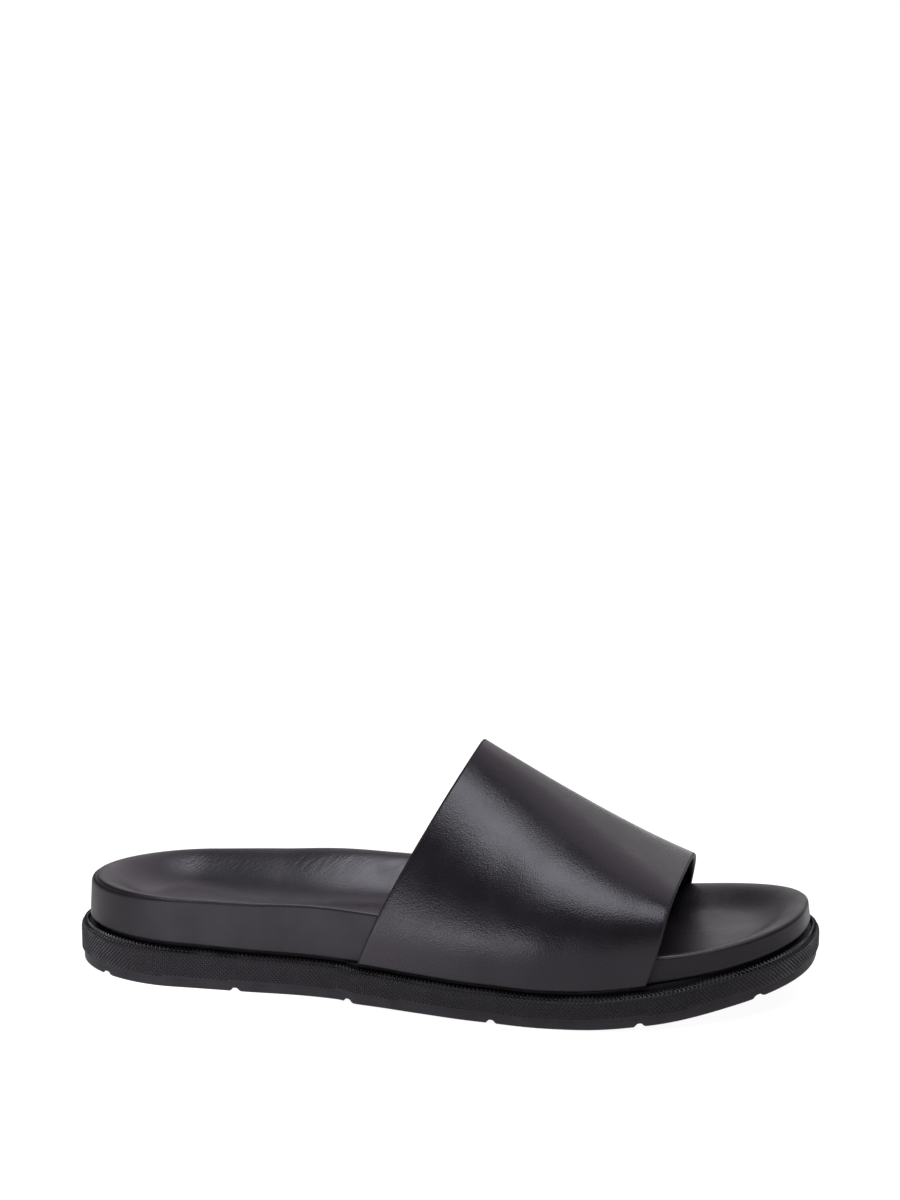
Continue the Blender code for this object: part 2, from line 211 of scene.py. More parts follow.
def side_places(steps):
    """Stations from heel to toe, in even steps along the mean run of the two sides of the outline."""
    fine = LENGTH * (1.0 - np.cos(np.linspace(0.0, np.pi, OUTLINE_STEPS + 1))) / 2.0
    runs = [np.linalg.norm(np.diff(outline(fine, side), axis=0), axis=1) for side in (LATERAL, MEDIAL)]
    run = np.append(0.0, np.cumsum((runs[0] + runs[1]) / 2.0))
    return np.interp(np.linspace(0.0, run[-1], steps + 1), run, fine)


def ring_of(places):
    """Closed ring of stations: out to the toe on the outer side, and back on the inner side."""
    x = np.concatenate([places, places[-2:0:-1]])
    side = np.concatenate([np.full(len(places), LATERAL), np.full(len(places) - 2, MEDIAL)])
    return x, side


def grid_faces(rows, columns, around=True, closed=False):
    """Corners of the cells of a grid. Columns may join into a ring, and rows into a closed profile."""
    row = np.arange(rows if closed else rows - 1)[:, None]
    column = np.arange(columns if around else columns - 1)[None, :]
    beside = (column + 1) % columns
    above = (row + 1) % rows
    low = row * columns
    high = above * columns
    corners = (low + column, low + beside, high + beside, high + column)
    return np.stack(np.broadcast_arrays(*corners), axis=-1).reshape(-1, 4)


SHARP_ANGLE = np.radians(40.0)
SEAM_MERGE = 1e-7  # metres
OUTLINE_LOW = outline(side_places(OUTLINE_STEPS), LATERAL).min(axis=0)
footbed_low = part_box("footbed")[0]
LAST_ORIGIN = np.array([-footbed_low.x / MM, OUTLINE_LOW[1] - footbed_low.y / MM, 0.0])


def on_last(points):
    """Points on the last, in millimetres, as metres in the frame of the solids."""
    return (np.asarray(points) - LAST_ORIGIN) * MM


def add_piece(name, points, faces, materials, replaced, face_materials=None):
    """Object from points on the last and its faces, with seams merged and faces turned outwards."""
    mesh = bpy.data.meshes.new(name)
    mesh.from_pydata(on_last(points.reshape(-1, 3)), [], faces)
    if face_materials is not None:
        mesh.polygons.foreach_set("material_index", face_materials)
    build = bmesh.new()
    build.from_mesh(mesh)
    bmesh.ops.remove_doubles(build, verts=build.verts, dist=SEAM_MERGE)
    bmesh.ops.dissolve_degenerate(build, edges=build.edges, dist=SEAM_MERGE)
    bmesh.ops.recalc_face_normals(build, faces=build.faces)
    build.to_mesh(mesh)
    build.free()
    mesh.shade_smooth()
    mesh.set_sharp_from_angle(angle=SHARP_ANGLE)
    for finish in materials:
        mesh.materials.append(finish)
    piece = bpy.data.objects.new(name, mesh)
    bpy.context.scene.collection.objects.link(piece)
    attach(piece, "root")
    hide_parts(replaced)
    return piece


def finish_nodes(name, specular):
    """Material with a Principled shader, whose even values are set on its own sockets."""
    finish = bpy.data.materials.new(name)
    finish.use_nodes = True
    shader = finish.node_tree.nodes["Principled BSDF"]
    shader.inputs["Specular IOR Level"].default_value = specular
    shader.inputs["Specular Tint"].default_value = BLACK_SHEEN
    return finish, finish.node_tree, shader


def noise_on_piece(tree, size):
    """Noise on the piece's own coordinates, with blotches of a size in millimetres."""
    place = tree.nodes.new("ShaderNodeTexCoord")
    noise = tree.nodes.new("ShaderNodeTexNoise")
    noise.inputs["Scale"].default_value = 1.0 / (size * MM)
    tree.links.new(place.outputs["Object"], noise.inputs["Vector"])
    return noise.outputs["Fac"]


def two_colours(tree, shader, first, second, size):
    """Base colour that wanders between two colours over blotches of a size in millimetres."""
    ramp = tree.nodes.new("ShaderNodeValToRGB")
    for stop, position, colour in zip(ramp.color_ramp.elements, COLOUR_BLEND, (first, second)):
        stop.position = position
        stop.color = colour
    tree.links.new(noise_on_piece(tree, size), ramp.inputs["Fac"])
    tree.links.new(ramp.outputs["Color"], shader.inputs["Base Color"])


def uneven_gloss(tree, shader, gloss, size):
    """Roughness that wanders between two values over blotches of a size in millimetres."""
    spread = tree.nodes.new("ShaderNodeMapRange")
    spread.inputs["From Min"].default_value, spread.inputs["From Max"].default_value = GLOSS_BLEND
    spread.inputs["To Min"].default_value, spread.inputs["To Max"].default_value = gloss
    tree.links.new(noise_on_piece(tree, size), spread.inputs["Value"])
    tree.links.new(spread.outputs["Result"], shader.inputs["Roughness"])


def relief(tree, shader, height, depth, under=None):
    """Bump of a depth in millimetres, on top of the relief that is under it."""
    bump = tree.nodes.new("ShaderNodeBump")
    bump.inputs["Distance"].default_value = depth * MM
    tree.links.new(height, bump.inputs["Height"])
    if under is not None:
        tree.links.new(under, bump.inputs["Normal"])
    tree.links.new(bump.outputs["Normal"], shader.inputs["Normal"])
    return bump.outputs["Normal"]


def moulded_rubber():
    """Matte black rubber with the faint tooth that a blasted mould leaves."""
    finish, tree, shader = finish_nodes("moulded_rubber", RUBBER_SPECULAR)
    two_colours(tree, shader, RUBBER_BLACK, RUBBER_WORN, RUBBER_BLOTCH)
    uneven_gloss(tree, shader, RUBBER_GLOSS, RUBBER_GLOSS_BLOTCH)
    relief(tree, shader, noise_on_piece(tree, MOULD_TOOTH), MOULD_TOOTH_DEPTH)
    return finish


def outsole_face(x, side):
    """Inset of the outsole's side face, which stands out past the footbed and the strap's ends."""
    return -SOLE_EDGE - strap_room(x, side)


def outsole_points(x, side):
    """Grid of the outsole: rings of the tread, foot band, side, lip, step for the welt, and seat. Whatever
    lies below the ceiling of a groove is lifted to it."""
    bottom = bottom_height(x)
    seat = seat_height(x)
    face = outsole_face(x, side)
    reach = to_core(x, side)[1]
    step_floor = seat - RABBET_DEPTH
    step_wall = -RABBET_LAP - strap_room(x, side)
    step_edge = step_wall - RABBET_WIDTH
    tread_edge = face + BAND_STEP + TREAD_ROUND
    turns = np.linspace(0.0, np.pi / 2.0, ROUND_STEPS)
    rows = [(tread_edge + (reach - tread_edge) * share, bottom)
            for share in np.linspace(1.0, 0.0, TREAD_STEPS)]
    rows += [(tread_edge - TREAD_ROUND * np.sin(turn),
              bottom + TREAD_ROUND_HEIGHT * (1.0 - np.cos(turn))) for turn in turns[1:]]
    rows += [(face + BAND_STEP, bottom + FOOT_BAND), (face, bottom + FOOT_BAND + BAND_STEP)]
    rows += [(face + (step_edge - face) * (1.0 - np.cos(turn)),
              step_floor - LIP_ROUND * (1.0 - np.sin(turn))) for turn in turns]
    rows += [(step_wall + CREVICE, step_floor), (step_wall + CREVICE, seat), (reach, seat)]
    insets, heights = (np.stack(values) for values in zip(*rows))
    grid = last_points(x, side, insets, heights)
    floor = np.repeat(bottom[None, :], len(rows), axis=0)
    floor[:TREAD_STEPS] = bottom_height(grid[:TREAD_STEPS, :, 0])
    grid[:TREAD_STEPS, :, 2] = floor[:TREAD_STEPS]
    grid[-1, :, 2] = seat_height(grid[-1, :, 0])
    grid[..., 2] = np.maximum(grid[..., 2], floor + groove_lift(grid[..., 0]))
    return grid


groove_offsets = np.arange(-GROOVE_REACH, GROOVE_REACH + GROOVE_STEP / 2.0, GROOVE_STEP)
groove_places = (np.array(GROOVE_SHARES)[:, None] * LENGTH + groove_offsets).ravel()
even_places = side_places(OUTSOLE_STEPS)
clear = np.abs(even_places[:, None] - groove_places).min(axis=1) > GROOVE_STEP
outsole_ring = ring_of(np.sort(np.concatenate([even_places[clear], groove_places])))
outsole_grid = outsole_points(*outsole_ring)
outsole_faces = grid_faces(*outsole_grid.shape[:2])
add_piece("outsole_body", outsole_grid, outsole_faces, [moulded_rubber()], "outsole")

# Knurl of the outsole's side: low diamond studs in a slanted lattice, moulded with the rubber unit. They
# cover the side from the foot band up over the lip.
STUD_PITCH = 1.69
STUD_BASE = 0.40  # half widths of a stud, as shares of the pitch
STUD_TOP = 0.12
STUD_HEIGHT = 0.55
STUD_ROOT = 0.12  # how deep a stud is set into the side
STUD_START = 0.5
STUD_END = 0.75
# painted sheen: the studs' lighter colour stands in for the light they catch
STUD_PAINTED_SHEEN = (0.0135, 0.0120, 0.0142, 1.0)
KNURL_SPECULAR = 0.45
KNURL_BLOTCH = 9.0
KNURL_GLOSS = (0.42, 0.60)
KNURL_GLOSS_BLOTCH = 6.0
STUD_CORNERS = ((1.0, 0.0), (0.0, 1.0), (-1.0, 0.0), (0.0, -1.0))
STUD_FACES = ((3, 2, 1, 0), (4, 5, 6, 7), (0, 1, 5, 4), (1, 2, 6, 5), (2, 3, 7, 6), (3, 0, 4, 7))


def ring_run(inset_at):
    """A fine ring at an inset that depends on the place: its stations, and the run along it to each."""
    x, side = ring_of(side_places(OUTLINE_STEPS))
    plan = last_points(x, side, inset_at(x, side), 0.0)
    steps = np.linalg.norm(np.diff(plan, axis=0, append=plan[:1]), axis=1)
    return np.append(x, x[0]), np.append(0.0, np.cumsum(steps))


def station_at(places, run, distance):
    """Station and side at a distance along a fine ring. The outer side comes first, up to the toe."""
    distance = np.mod(distance, run[-1])
    x = np.interp(distance, run, places)
    return x, np.where(distance < run[np.argmax(places)], LATERAL, MEDIAL)


def side_point(x, side, drop, proud):
    """Points of the outsole's side, at a drop below the top of the lip, standing proud of it.

    The side is upright below the lip, and a quarter of an ellipse on it."""
    lip = SOLE_EDGE - RABBET_LAP - RABBET_WIDTH
    turn = np.arcsin(np.clip(1.0 - drop / LIP_ROUND, 0.0, 1.0))
    out = np.cos(turn) / lip
    up = np.sin(turn) / LIP_ROUND
    slant = np.hypot(out, up)
    inset = outsole_face(x, side) + lip * (1.0 - np.cos(turn)) - proud * out / slant
    return last_points(x, side, inset, seat_height(x) - RABBET_DEPTH - drop + proud * up / slant)


def knurl_points():
    """Corners of every stud: a lattice with odd rows shifted by half a pitch, cut off at the foot band."""
    places, run = ring_run(outsole_face)
    count = int(round(run[-1] / STUD_PITCH))
    pitch = run[-1] / count
    room = section("sole", places) - RABBET_DEPTH - FOOT_BAND - BAND_STEP - STUD_START
    row = np.arange(int(room.max() / (pitch / 2.0)))
    along = ((np.arange(count)[None, :] + 0.5 * (row[:, None] % 2)) * pitch).ravel()
    drop = np.repeat(STUD_END + row * pitch / 2.0, count)
    kept = drop < np.interp(along, run, room)
    corners = np.array(STUD_CORNERS) * pitch
    spread = np.concatenate([corners * STUD_BASE, corners * STUD_TOP])
    proud = np.repeat((-STUD_ROOT, STUD_HEIGHT), len(STUD_CORNERS))
    x, side = station_at(places, run, along[kept, None] + spread[:, 0])
    return side_point(x, side, drop[kept, None] + spread[:, 1], proud)


def knurled_rubber():
    """The same black rubber, painted lighter on the studs as a painted sheen that sets them off."""
    finish, tree, shader = finish_nodes("knurled_rubber", KNURL_SPECULAR)
    two_colours(tree, shader, RUBBER_WORN, STUD_PAINTED_SHEEN, KNURL_BLOTCH)
    uneven_gloss(tree, shader, KNURL_GLOSS, KNURL_GLOSS_BLOTCH)
    return finish


studs = knurl_points()
stud_faces = (np.arange(len(studs))[:, None, None] * studs.shape[1] + np.array(STUD_FACES)).reshape(-1, 4)
add_piece("outsole_knurl", studs, stud_faces, [knurled_rubber()], "outsole")

# Welt: a narrow strip of glossy black rubber with round teeth across it, laid in the step of the lip, in
# the corner at the foot of the footbed.
WELT_HALF_WIDTH = (RABBET_WIDTH - GAP) / 2.0
TOOTH_PITCH = 1.65
TOOTH_STEPS = 8
TOOTH_HEIGHT = 1.7
TOOTH_DEPTH = 0.55
TOOTH_SHARPNESS = 2.0
TOOTH_OVERHANG = 0.65
TOOTH_DROOP = 0.5
WELT_STEPS = 10
WELT_BLACK = (0.0040, 0.0035, 0.0043, 1.0)
WELT_SPECULAR = 0.42
WELT_GLOSS = (0.08, 0.72)
WELT_GLOSS_BLOTCH = 14.0


def welt_middle(x, side):
    """Inset of the middle of the welt."""
    return -RABBET_LAP - GAP - WELT_HALF_WIDTH - strap_room(x, side)


def welt_points():
    """Half-round strip along the step: its arch swells at each tooth and sinks between two, by a power of a
    cosine. On its outer side each tooth leans out over the lip and droops."""
    places, run = ring_run(welt_middle)
    teeth = int(round(run[-1] / TOOTH_PITCH))
    step = np.arange(teeth * TOOTH_STEPS)
    x, side = station_at(places, run, step * run[-1] / len(step))
    hollow = np.abs(np.cos(np.pi * step / TOOTH_STEPS)) ** TOOTH_SHARPNESS
    swell = 1.0 - TOOTH_DEPTH * hollow
    turn = np.linspace(0.0, np.pi, WELT_STEPS)[:, None]
    overhang = np.clip(np.cos(turn), 0.0, None) * (1.0 - hollow)
    inset = welt_middle(x, side) - WELT_HALF_WIDTH * np.cos(turn) - TOOTH_OVERHANG * overhang
    floor = seat_height(x) - RABBET_DEPTH + GAP
    height = floor + TOOTH_HEIGHT * np.sin(turn) * swell - TOOTH_DROOP * overhang
    return last_points(x, side, inset, height)


def glossy_rubber():
    """Black rubber from a polished mould, worn dull in patches: its teeth glint."""
    finish, tree, shader = finish_nodes("glossy_rubber", WELT_SPECULAR)
    shader.inputs["Base Color"].default_value = WELT_BLACK
    uneven_gloss(tree, shader, WELT_GLOSS, WELT_GLOSS_BLOTCH)
    return finish


welt_grid = welt_points()
welt_faces = grid_faces(*welt_grid.shape[:2], closed=True)
add_piece("welt_strip", welt_grid, welt_faces, [glossy_rubber()], "welt")

# Footbed: a shaped midsole wrapped in smooth black leather. The leather is pulled round the lower edge,
# lies flat on the wall, and ends in a seam on the shoulder, under the edge of the insole.
WALL_DRAFT = 0.7
SEAM_LEVEL = 0.6  # place on the shoulder, from 0 on the wall to 1 on the rim
SEAM_DEPTH = 0.4
SEAM_TOE_DEPTH = 0.06
SEAM_FADE = (214.0, 246.0)  # places between which it goes faint
SEAM_WIDTH = 0.16
EDGE_LAP = 1.0
INSOLE_THICKNESS = 1.8
FOOT_TUCK = 1.2
FOOTBED_STEPS = 220
WALL_STEPS = 10
SHOULDER_STEPS = 9
BED_START = 0.15  # share of the way to the core where the bed of the insole begins
BED_STEPS = 8
LEATHER_BLACK = (0.0066, 0.0053, 0.0069, 1.0)
LEATHER_SOFT = (0.0084, 0.0068, 0.0088, 1.0)
LEATHER_BLOTCH = 22.0
LEATHER_GLOSS_BLOTCH = 12.0
GRAIN_SMOOTHNESS = 0.6
GRAIN_SWELL = 6.0  # size of the soft swell under the grain, in grains
FOOTBED_GLOSS = (0.42, 0.52)
FOOTBED_SPECULAR = 0.30
FOOTBED_GRAIN = (0.7, 0.030)  # size and depth


def rim_height(x, side):
    """Height of the footbed's rim."""
    return seat_height(x) + by_side("rim", x, side)


def shoulder(x, side, level, sunk=0.0):
    """Inset and height on the rounded shoulder, a quarter circle from level 0 on the wall to level 1 on the
    rim. A sunk point lies that deep below the surface."""
    roll = section("roll", x)
    turn = level * np.pi / 2.0
    inset = WALL_DRAFT + roll * (1.0 - np.cos(turn)) + sunk * np.cos(turn)
    return inset, rim_height(x, side) - roll * (1.0 - np.sin(turn)) - sunk * np.sin(turn)


def seam_depth(x):
    """Depth of the seam: full along the sides, and faint round the toe."""
    toe_part = smooth((x - SEAM_FADE[0]) / (SEAM_FADE[1] - SEAM_FADE[0]))
    return SEAM_DEPTH + (SEAM_TOE_DEPTH - SEAM_DEPTH) * toe_part


def soft_fall(value):
    """Way down a slope from 0 to 1, steepest at a third of it: one less the cube of the rest, times one and
    three times the value."""
    value = np.clip(value, 0.0, 1.0)
    return 1.0 - (1.0 - value) ** 3 * (1.0 + 3.0 * value)


def dish_height(x, side, inset):
    """Height of the insole's top: it falls from the rim to the floor of the dish, with a long run-out."""
    plan_x = last_points(x, side, inset, 0.0)[..., 0]
    floor = seat_height(plan_x) + section("floor", plan_x)
    rim = rim_height(x, side)
    top_inset = shoulder(x, side, 1.0)[0]
    return rim + (floor - rim) * soft_fall((inset - top_inset) / by_side("slope", x, side))


def footbed_points(x, side):
    """Grid of the footbed: base, tucked lower edge, wall, shoulder up to the seam, and bed of the insole."""
    base = seat_height(x) + GAP
    reach = to_core(x, side)[1]
    start_inset, start_height = shoulder(x, side, 0.0)
    seam = seam_depth(x)
    seam_inset, seam_height = shoulder(x, side, SEAM_LEVEL, seam)
    rows = [(reach, base)]
    rows += [(FOOT_TUCK * (1.0 - np.sin(turn)), base + FOOT_TUCK * (1.0 - np.cos(turn)))
             for turn in np.linspace(0.0, np.pi / 2.0, ROUND_STEPS)]
    rows += [(start_inset * share, base + FOOT_TUCK + (start_height - base - FOOT_TUCK) * share)
             for share in np.linspace(0.0, 1.0, WALL_STEPS)[1:]]
    rows += [shoulder(x, side, level, seam * smooth((level - SEAM_LEVEL) / SEAM_WIDTH + 1.0))
             for level in np.linspace(0.0, SEAM_LEVEL, SHOULDER_STEPS)[1:]]
    lap = seam_inset + EDGE_LAP
    rows += [(lap, seam_height)]
    bed = [lap + (reach - lap) * share for share in np.linspace(BED_START, 1.0, BED_STEPS)]
    rows += [(inset, dish_height(x, side, inset) - INSOLE_THICKNESS - GAP) for inset in bed]
    insets = np.stack([np.broadcast_to(inset, x.shape) for inset, height in rows])
    grid = last_points(x, side, insets, np.stack([height for inset, height in rows]))
    grid[0, :, 2] = seat_height(grid[0, :, 0]) + GAP
    return grid


def smooth_leather(name, gloss, specular, grain):
    """Black leather with a fine pebbled grain over a soft swell. With it goes its relief, to build on."""
    size, depth = grain
    finish, tree, shader = finish_nodes(name, specular)
    two_colours(tree, shader, LEATHER_BLACK, LEATHER_SOFT, LEATHER_BLOTCH)
    uneven_gloss(tree, shader, gloss, LEATHER_GLOSS_BLOTCH)
    place = tree.nodes.new("ShaderNodeTexCoord")
    pebbles = tree.nodes.new("ShaderNodeTexVoronoi")
    pebbles.feature = "SMOOTH_F1"
    pebbles.inputs["Scale"].default_value = 1.0 / (size * MM)
    pebbles.inputs["Smoothness"].default_value = GRAIN_SMOOTHNESS
    tree.links.new(place.outputs["Object"], pebbles.inputs["Vector"])
    under = relief(tree, shader, pebbles.outputs["Distance"], depth)
    under = relief(tree, shader, noise_on_piece(tree, size * GRAIN_SWELL), depth, under)
    return finish, tree, shader, under


footbed_grid = footbed_points(*ring_of(side_places(FOOTBED_STEPS)))
footbed_faces = grid_faces(*footbed_grid.shape[:2])
footbed_leather = smooth_leather("footbed_leather", FOOTBED_GLOSS, FOOTBED_SPECULAR, FOOTBED_GRAIN)[0]
add_piece("footbed_wrap", footbed_grid, footbed_faces, [footbed_leather], "footbed")

# Insole: a thin cover of smooth black leather, pressed into the dish of the footbed and glued down. Its
# edge is turned over the rim as a fine bead, and the leather wrinkles where the dish is hollowest.
INSOLE_STEPS = 320
BEAD_STEPS = 9
DISH_STEPS = 70
INSOLE_GLOSS = (0.38, 0.46)
INSOLE_SPECULAR = 0.55
INSOLE_GRAIN = (0.6, 0.035)
X_AXIS = Vector((1.0, 0.0, 0.0))
CREASE_SPREAD = 1.5  # how far the two ridges beside a crease run out

# Creases: the middle of each, its heading in degrees from the toe towards the inner side,
# and its size.
CREASE_COLUMNS = ("x", "y", "heading", "length", "width", "depth")
CREASES = (
    (80.0, 24.5, 50.0, 11.0, 0.8, 0.07),
    (83.5, 23.5, 48.0, 12.0, 0.8, 0.07),
    (88.0, 23.0, 46.0, 12.0, 0.9, 0.07),
    (92.5, 25.0, 45.0, 9.0, 0.8, 0.07),
    (99.0, 24.0, 40.0, 10.0, 0.9, 0.07),
    (110.0, 23.5, 33.0, 12.0, 1.1, 0.13),
    (114.0, 24.8, 31.0, 12.0, 1.0, 0.14),
    (118.0, 26.2, 30.0, 10.0, 1.0, 0.12),
    (236.0, 41.5, 60.0, 6.0, 0.8, 0.10),
    (238.5, 41.0, 60.0, 6.0, 0.8, 0.10),
    (241.5, 40.0, 55.0, 6.0, 0.8, 0.09),
    (250.0, 35.5, 45.0, 7.0, 0.8, 0.12),
    (252.5, 34.8, 45.0, 7.0, 0.8, 0.10),
    (256.0, 36.0, 80.0, 6.0, 0.8, 0.08),
    (245.0, 10.0, 10.0, 40.0, 2.2, 0.12),
    (246.0, 4.5, 14.0, 30.0, 1.8, 0.08),
)

# Patches of wrinkles: the middle and the half sizes of a patch, the way its wrinkles run, the length, width
# and height of one, and their depth.
WRINKLES = (
    ((45.0, 24.0, 32.0), (40.0, 10.0, 10.0), (0.80, 0.45, 0.40), (5.0, 0.8, 0.8), 0.09),
    ((98.0, 24.0, 36.5), (34.0, 10.0, 10.0), (0.74, 0.50, 0.45), (5.0, 0.8, 0.8), 0.12),
    ((242.0, 39.0, 26.0), (16.0, 9.0, 9.0), (0.70, 0.55, 0.46), (5.0, 0.8, 0.8), 0.14),
)
WRINKLE_DETAIL = 1.0
WRINKLE_FADE = (0.2, 1.0)  # shares of the way to the edge of a patch


def crease_lift(x, y):
    """Sum of the listed creases: across each runs a soft trough between two low ridges, and its depth
    fades out by a soft step towards both ends."""
    crease = dict(zip(CREASE_COLUMNS, np.array(CREASES).T[:, :, None, None]))
    turn = np.radians(crease["heading"])
    away_x = x - crease["x"]
    away_y = y - crease["y"]
    along = away_x * np.cos(turn) + away_y * np.sin(turn)
    across = (away_y * np.cos(turn) - away_x * np.sin(turn)) / crease["width"]
    fade = smooth(1.0 - np.abs(along) / (crease["length"] / 2.0))
    trough = (1.0 - across ** 2) * np.exp(-across ** 2 / CREASE_SPREAD)
    return (-crease["depth"] * fade * trough).sum(axis=0)


def insole_points(x, side):
    """Grid of the insole: underside, turned edge, bead on the rim, and the dish with its creases."""
    reach = to_core(x, side)[1]
    top_inset = shoulder(x, side, 1.0)[0]
    seam = seam_depth(x)
    lap_inset, lap_height = shoulder(x, side, SEAM_LEVEL, seam)
    lap = lap_inset + EDGE_LAP
    under = [lap + (reach - lap) * share for share in np.linspace(1.0, BED_START, BED_STEPS)]
    rows = [(inset, dish_height(x, side, inset) - INSOLE_THICKNESS) for inset in under]
    rows += [(lap, lap_height + GAP / 2.0)]
    rows += [shoulder(x, side, level, seam * smooth((SEAM_LEVEL - level) / SEAM_WIDTH + 1.0))
             for level in np.linspace(SEAM_LEVEL, 1.0, BEAD_STEPS)]
    dish = [top_inset + (reach - top_inset) * share for share in np.linspace(0.0, 1.0, DISH_STEPS + 1)[1:]]
    rows += [(inset, dish_height(x, side, inset)) for inset in dish]
    insets, heights = (np.stack(values) for values in zip(*rows))
    grid = last_points(x, side, insets, heights)
    grid[-DISH_STEPS:, :, 2] += crease_lift(grid[-DISH_STEPS:, :, 0], grid[-DISH_STEPS:, :, 1])
    return grid


def wrinkle_patch(tree, middle, patch, along, spacing):
    """Height of a patch of wrinkles: drawn-out noise times a soft fall from its middle to its edge."""
    place = tree.nodes.new("ShaderNodeTexCoord")
    drawn = tree.nodes.new("ShaderNodeMapping")
    drawn.vector_type = "TEXTURE"
    drawn.inputs["Location"].default_value = on_last(middle)
    drawn.inputs["Rotation"].default_value = X_AXIS.rotation_difference(Vector(along)).to_euler()
    drawn.inputs["Scale"].default_value = np.array(spacing) * MM
    tree.links.new(place.outputs["Object"], drawn.inputs["Vector"])
    noise = tree.nodes.new("ShaderNodeTexNoise")
    noise.inputs["Scale"].default_value = 1.0
    noise.inputs["Detail"].default_value = WRINKLE_DETAIL
    tree.links.new(drawn.outputs["Vector"], noise.inputs["Vector"])
    centred = tree.nodes.new("ShaderNodeMapping")
    centred.vector_type = "TEXTURE"
    centred.inputs["Location"].default_value = on_last(middle)
    centred.inputs["Scale"].default_value = np.array(patch) * MM
    tree.links.new(place.outputs["Object"], centred.inputs["Vector"])
    away = tree.nodes.new("ShaderNodeVectorMath")
    away.operation = "LENGTH"
    tree.links.new(centred.outputs["Vector"], away.inputs[0])
    fade = tree.nodes.new("ShaderNodeMapRange")
    fade.interpolation_type = "SMOOTHSTEP"
    fade.inputs["From Min"].default_value, fade.inputs["From Max"].default_value = WRINKLE_FADE
    fade.inputs["To Min"].default_value = 1.0
    fade.inputs["To Max"].default_value = 0.0
    tree.links.new(away.outputs["Value"], fade.inputs["Value"])
    height = tree.nodes.new("ShaderNodeMath")
    height.operation = "MULTIPLY"
    tree.links.new(noise.outputs["Fac"], height.inputs[0])
    tree.links.new(fade.outputs["Result"], height.inputs[1])
    return height.outputs["Value"]


def wrinkled_leather():
    """Smooth leather with patches of slanting wrinkles, where it is pressed into a hollow."""
    leather = smooth_leather("insole_leather", INSOLE_GLOSS, INSOLE_SPECULAR, INSOLE_GRAIN)
    finish, tree, shader, under = leather
    for middle, patch, along, spacing, depth in WRINKLES:
        under = relief(tree, shader, wrinkle_patch(tree, middle, patch, along, spacing), depth, under)
    return finish


insole_grid = insole_points(*ring_of(side_places(INSOLE_STEPS)))
insole_faces = grid_faces(*insole_grid.shape[:2])
add_piece("insole_cover", insole_grid, insole_faces, [wrinkled_leather()], "insole")

# Strap: one wide band of smooth black leather with a soft gloss, lined inside, over the forefoot. Its ends
# go down outside the footbed and are tucked in behind the lip of the outsole. Its long edges are cut and
# inked.
STRAP_EDGE = 1.0  # radius of the long edges

# Rear and front edge of the strap: the places of its feet and its crown along the last, the height of the
# crown, the power of its lean, the way from the middle to the ridge, and the power of sine and cosine that
# rounds each side.
STRAP_COLUMNS = ("edge", "lateral_foot", "crown", "medial_foot", "crown_height", "lean", "ridge",
                 "lateral_round", "medial_round")
STRAP_EDGES = (
    ("rear", STRAP_FEET[LATERAL][0], 155.6, STRAP_FEET[MEDIAL][0], 96.4, 1.14, 3.0, 1.20, 1.03),
    ("front", STRAP_FEET[LATERAL][1], 237.0, STRAP_FEET[MEDIAL][1], 51.6, 0.8, -6.0, 0.56, 1.10),
)
STRAP_SAG = 0.3
SQUARING = 2.0  # power by which the roundness changes from edge to edge
SPRINGING = 9.6  # height above its foot at which the arch begins
STRAP_TUCK = 1.0
STRAP_ACROSS = 61
STRAP_WALL_STEPS = 14
STRAP_ARCH_STEPS = 56
STRAP_MARGIN = 0.022
EDGE_STEPS = 5
STRAP_GLOSS = (0.26, 0.33)
STRAP_SPECULAR = 0.30
STRAP_GRAIN = (0.55, 0.048)
INK_BLACK = (0.0085, 0.0074, 0.0089, 1.0)
INK_BLOTCH = 6.0
INK_ROUGHNESS = 0.6
INK_SPECULAR = 0.30
FIBRE = 0.8
FIBRE_DEPTH = 0.05
LINING_BLACK = (0.0045, 0.0038, 0.0046, 1.0)
LINING_BLOTCH = 10.0
LINING_ROUGHNESS = 0.8
LINING_SPECULAR = 0.3
NAP = 0.5
NAP_DEPTH = 0.05


